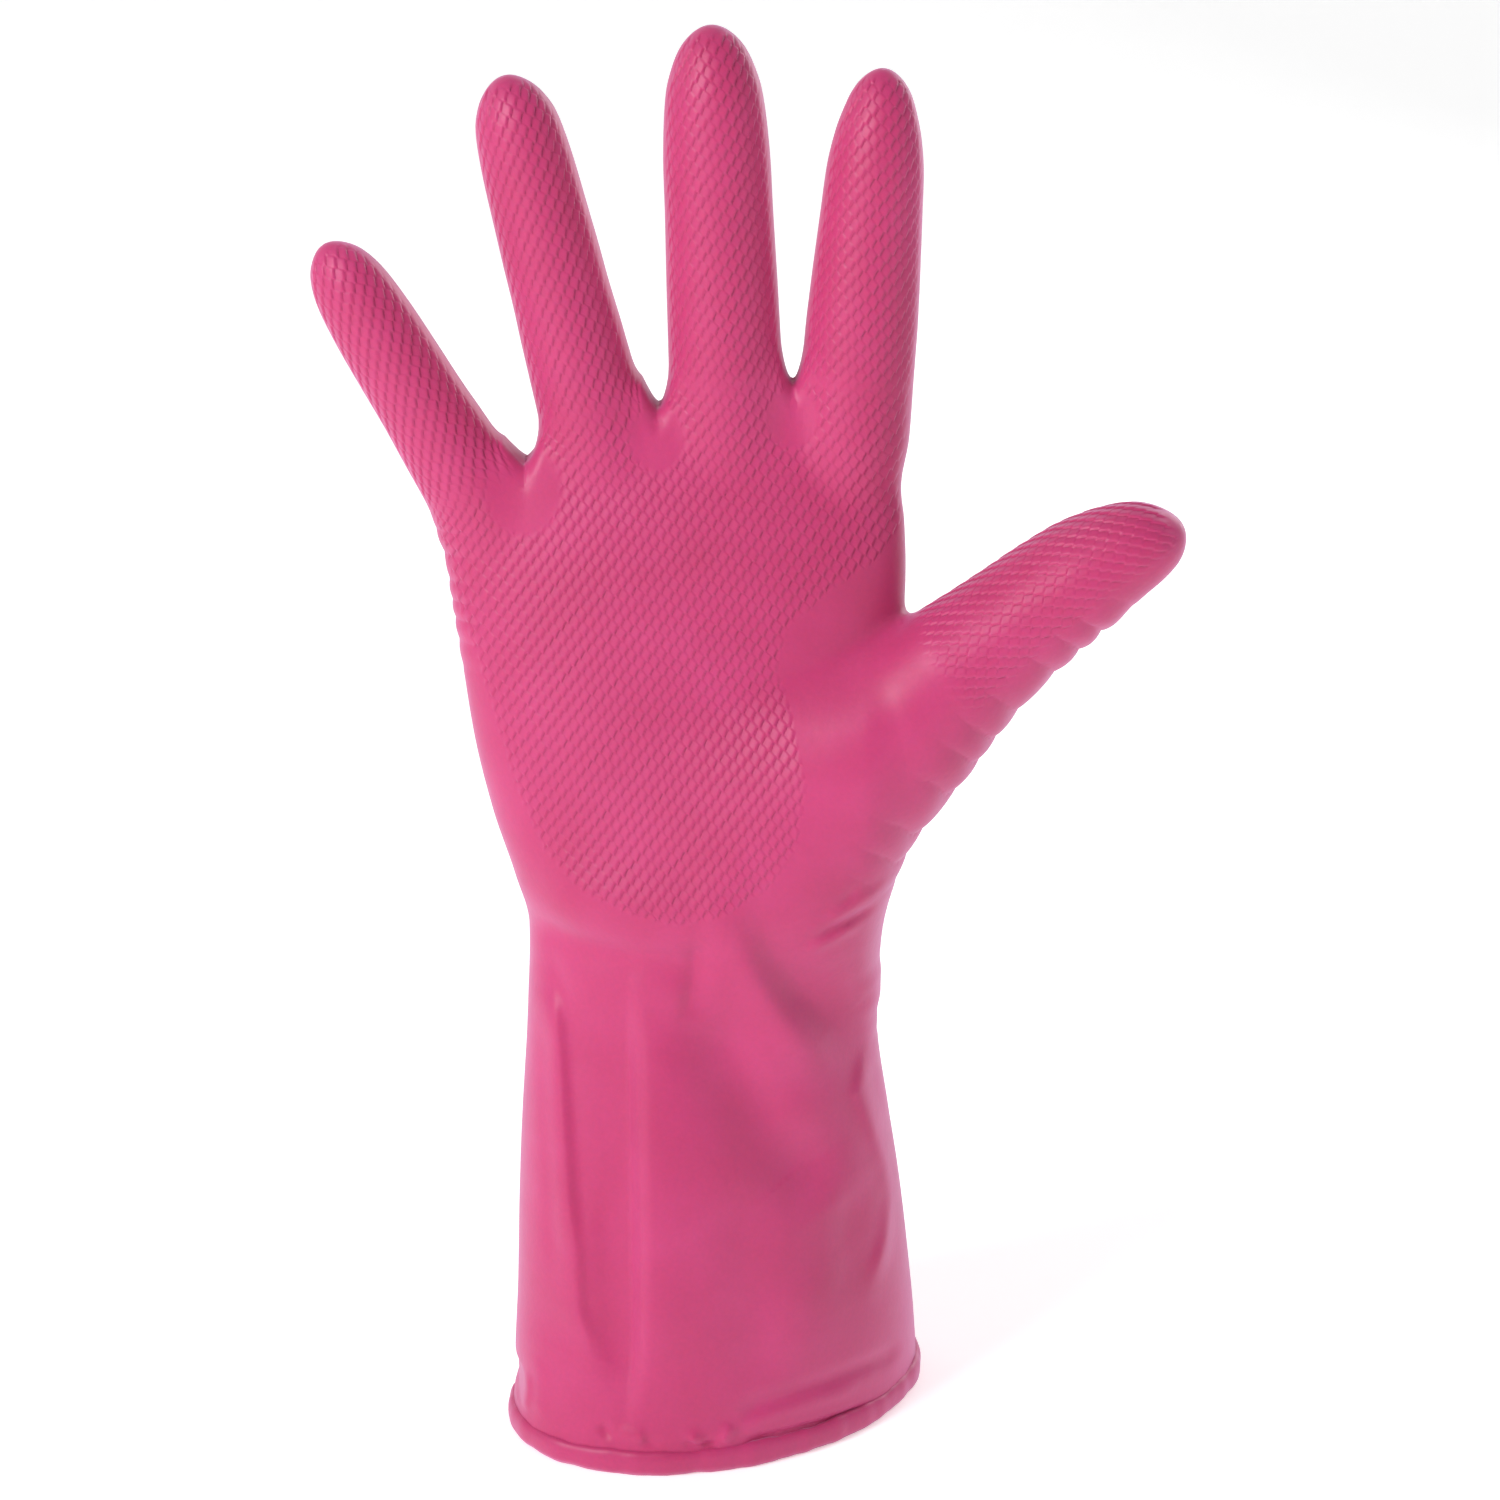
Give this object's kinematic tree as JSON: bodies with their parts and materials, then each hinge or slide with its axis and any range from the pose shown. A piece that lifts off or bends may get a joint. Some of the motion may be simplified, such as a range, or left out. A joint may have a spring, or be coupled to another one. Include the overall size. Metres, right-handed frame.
{
  "type": "household rubber glove",
  "caption": "Right-hand household glove of dipped latex with a cotton flock lining, a gripping palm pattern and a rolled cuff bead, divided at its flex lines.",
  "frame": {"origin": "centre of the cuff opening, on the plane of the cuff rim", "axes": "+Z from the cuff rim to the fingertips, the palm faces -Y, the thumb is on the +X side"},
  "size_m": [0.1773, 0.0833, 0.3015],
  "materials": {
    "film": "soft satin latex, rose pink",
    "bead": "soft satin latex, rose pink, rolled edge",
    "lining": "short cotton flock, pale rose"
  },
  "bodies": {
    "cuff": {"cuff_film": "film", "cuff_bead": "bead", "cuff_lining": "lining", "wrist_bend_band": "film"},
    "wrist": {"wrist_film": "film", "wrist_lining": "lining", "wrist_tilt_band": "film"},
    "palm": {"palm_film": "film", "palm_lining": "lining", "knuckle_fold_band": "film"},
    "knuckles": {"knuckle_film": "film", "knuckle_lining": "lining", "middle_root_band": "film"},
    "index_root": {"index_collar_film": "film", "index_collar_lining": "lining"},
    "index_proximal": {"index_proximal_film": "film", "index_proximal_lining": "lining", "index_middle_joint_band": "film"},
    "index_middle": {"index_middle_film": "film", "index_middle_lining": "lining", "index_tip_joint_band": "film"},
    "index_tip": {"index_tip_film": "film", "index_tip_lining": "lining"},
    "middle_proximal": {"middle_proximal_film": "film", "middle_proximal_lining": "lining", "middle_middle_joint_band": "film"},
    "middle_middle": {"middle_middle_film": "film", "middle_middle_lining": "lining", "middle_tip_joint_band": "film"},
    "middle_tip": {"middle_tip_film": "film", "middle_tip_lining": "lining"},
    "ring_root": {"ring_collar_film": "film", "ring_collar_lining": "lining"},
    "ring_proximal": {"ring_proximal_film": "film", "ring_proximal_lining": "lining", "ring_middle_joint_band": "film"},
    "ring_middle": {"ring_middle_film": "film", "ring_middle_lining": "lining", "ring_tip_joint_band": "film"},
    "ring_tip": {"ring_tip_film": "film", "ring_tip_lining": "lining"},
    "little_root": {"little_collar_film": "film", "little_collar_lining": "lining"},
    "little_proximal": {"little_proximal_film": "film", "little_proximal_lining": "lining", "little_middle_joint_band": "film"},
    "little_middle": {"little_middle_film": "film", "little_middle_lining": "lining", "little_tip_joint_band": "film"},
    "little_tip": {"little_tip_film": "film", "little_tip_lining": "lining"},
    "thumb_root": {"thumb_collar_film": "film", "thumb_collar_lining": "lining"},
    "thumb_proximal": {"thumb_proximal_film": "film", "thumb_proximal_lining": "lining", "thumb_tip_joint_band": "film"},
    "thumb_tip": {"thumb_tip_film": "film", "thumb_tip_lining": "lining"}
  },
  "joints": [
    {"name": "wrist_bend", "type": "hinge", "parent": "cuff", "child": "wrist", "pos_m": [-0.0033, 0.0008, 0.091], "axis": [1, 0, 0], "range_deg": [-40, 40], "stiffness_Nm_per_rad": 0.35, "deforming": ["wrist_bend_band", "cuff_lining", "wrist_lining"]},
    {"name": "wrist_tilt", "type": "hinge", "parent": "wrist", "child": "palm", "pos_m": [-0.004, 0, 0.118], "axis": [0, 1, 0], "range_deg": [-15, 20], "stiffness_Nm_per_rad": 0.35, "deforming": ["wrist_tilt_band", "palm_lining"]},
    {"name": "knuckle_fold", "type": "hinge", "parent": "palm", "child": "knuckles", "pos_m": [-0.007, -0.006, 0.199], "axis": [0.9976, 0, 0.0698], "range_deg": [-10, 30], "stiffness_Nm_per_rad": 0.08, "deforming": ["knuckle_fold_band", "knuckle_lining"]},
    {"name": "index_spread", "type": "hinge", "parent": "knuckles", "child": "index_root", "pos_m": [0.02931, -0.00119, 0.23313], "axis": [-0.0035, -0.9989, -0.0466], "range_deg": [-6, 6], "stiffness_Nm_per_rad": 0.02, "deforming": ["index_collar_film", "index_collar_lining"]},
    {"name": "index_root_bend", "type": "hinge", "parent": "index_root", "child": "index_proximal", "pos_m": [0.02996, -0.00943, 0.24173], "axis": [0.9972, 0, -0.0749], "range_deg": [-8, 55], "stiffness_Nm_per_rad": 0.02, "deforming": ["index_proximal_lining"]},
    {"name": "index_middle_bend", "type": "hinge", "parent": "index_proximal", "child": "index_middle", "pos_m": [0.03104, -0.00946, 0.25621], "axis": [0.9972, 0, -0.0749], "range_deg": [0, 90], "stiffness_Nm_per_rad": 0.012, "deforming": ["index_middle_joint_band", "index_middle_lining"]},
    {"name": "index_tip_bend", "type": "hinge", "parent": "index_middle", "child": "index_tip", "pos_m": [0.03232, -0.00919, 0.27319], "axis": [0.9972, 0, -0.0749], "range_deg": [0, 54], "stiffness_Nm_per_rad": 0.008, "deforming": ["index_tip_joint_band", "index_tip_lining"]},
    {"name": "middle_root_bend", "type": "hinge", "parent": "knuckles", "child": "middle_proximal", "pos_m": [0.0017, -0.00941, 0.23917], "axis": [0.9992, 0, 0.0393], "range_deg": [-8, 55], "stiffness_Nm_per_rad": 0.02, "deforming": ["middle_root_band", "middle_proximal_lining"]},
    {"name": "middle_middle_bend", "type": "hinge", "parent": "middle_proximal", "child": "middle_middle", "pos_m": [0.00095, -0.00977, 0.25816], "axis": [0.9992, 0, 0.0393], "range_deg": [0, 90], "stiffness_Nm_per_rad": 0.012, "deforming": ["middle_middle_joint_band", "middle_middle_lining"]},
    {"name": "middle_tip_bend", "type": "hinge", "parent": "middle_middle", "child": "middle_tip", "pos_m": [0.00015, -0.01006, 0.27865], "axis": [0.9992, 0, 0.0393], "range_deg": [0, 54], "stiffness_Nm_per_rad": 0.008, "deforming": ["middle_tip_joint_band", "middle_tip_lining"]},
    {"name": "ring_spread", "type": "hinge", "parent": "knuckles", "child": "ring_root", "pos_m": [-0.02693, -0.00121, 0.22838], "axis": [-0.0101, 0.9991, 0.0418], "range_deg": [-5, 10], "stiffness_Nm_per_rad": 0.02, "deforming": ["ring_collar_film", "ring_collar_lining"]},
    {"name": "ring_root_bend", "type": "hinge", "parent": "ring_root", "child": "ring_proximal", "pos_m": [-0.02921, -0.00859, 0.2378], "axis": [0.972, 0, 0.2351], "range_deg": [-8, 55], "stiffness_Nm_per_rad": 0.02, "deforming": ["ring_proximal_lining"]},
    {"name": "ring_middle_bend", "type": "hinge", "parent": "ring_proximal", "child": "ring_middle", "pos_m": [-0.03297, -0.00876, 0.25336], "axis": [0.972, 0, 0.2351], "range_deg": [0, 90], "stiffness_Nm_per_rad": 0.012, "deforming": ["ring_middle_joint_band", "ring_middle_lining"]},
    {"name": "ring_tip_bend", "type": "hinge", "parent": "ring_middle", "child": "ring_tip", "pos_m": [-0.03732, -0.00898, 0.27135], "axis": [0.972, 0, 0.2351], "range_deg": [0, 54], "stiffness_Nm_per_rad": 0.008, "deforming": ["ring_tip_joint_band", "ring_tip_lining"]},
    {"name": "little_spread", "type": "hinge", "parent": "knuckles", "child": "little_root", "pos_m": [-0.05278, -0.00121, 0.2115], "axis": [-0.0214, 0.9991, 0.037], "range_deg": [-8, 24], "stiffness_Nm_per_rad": 0.02, "deforming": ["little_collar_film", "little_collar_lining"]},
    {"name": "little_root_bend", "type": "hinge", "parent": "little_root", "child": "little_proximal", "pos_m": [-0.05765, -0.00767, 0.21993], "axis": [0.8661, 0, 0.4998], "range_deg": [-8, 55], "stiffness_Nm_per_rad": 0.02, "deforming": ["little_proximal_lining"]},
    {"name": "little_middle_bend", "type": "hinge", "parent": "little_proximal", "child": "little_middle", "pos_m": [-0.0644, -0.00773, 0.23164], "axis": [0.8661, 0, 0.4998], "range_deg": [0, 90], "stiffness_Nm_per_rad": 0.012, "deforming": ["little_middle_joint_band", "little_middle_lining"]},
    {"name": "little_tip_bend", "type": "hinge", "parent": "little_middle", "child": "little_tip", "pos_m": [-0.07166, -0.00767, 0.24421], "axis": [0.8661, 0, 0.4998], "range_deg": [0, 54], "stiffness_Nm_per_rad": 0.008, "deforming": ["little_tip_joint_band", "little_tip_lining"]},
    {"name": "thumb_swing", "type": "hinge", "parent": "palm", "child": "thumb_root", "pos_m": [0.05276, -0.01773, 0.17259], "axis": [0.5868, -0.1166, -0.8013], "range_deg": [-8, 40], "stiffness_Nm_per_rad": 0.03, "deforming": ["thumb_collar_film", "thumb_collar_lining"]},
    {"name": "thumb_root_bend", "type": "hinge", "parent": "thumb_root", "child": "thumb_proximal", "pos_m": [0.05785, -0.01918, 0.18308], "axis": [0.367, -0.6609, -0.6546], "range_deg": [-5, 35], "stiffness_Nm_per_rad": 0.02, "deforming": ["thumb_proximal_lining"]},
    {"name": "thumb_tip_bend", "type": "hinge", "parent": "thumb_proximal", "child": "thumb_tip", "pos_m": [0.06915, -0.02092, 0.19118], "axis": [0.367, -0.6609, -0.6546], "range_deg": [-5, 60], "stiffness_Nm_per_rad": 0.012, "deforming": ["thumb_tip_joint_band", "thumb_tip_lining"]}
  ],
  "couplings": [
    {"joint": "index_tip_bend", "follows": "index_middle_bend", "ratio": 0.6},
    {"joint": "middle_tip_bend", "follows": "middle_middle_bend", "ratio": 0.6},
    {"joint": "ring_tip_bend", "follows": "ring_middle_bend", "ratio": 0.6},
    {"joint": "little_tip_bend", "follows": "little_middle_bend", "ratio": 0.6}
  ]
}
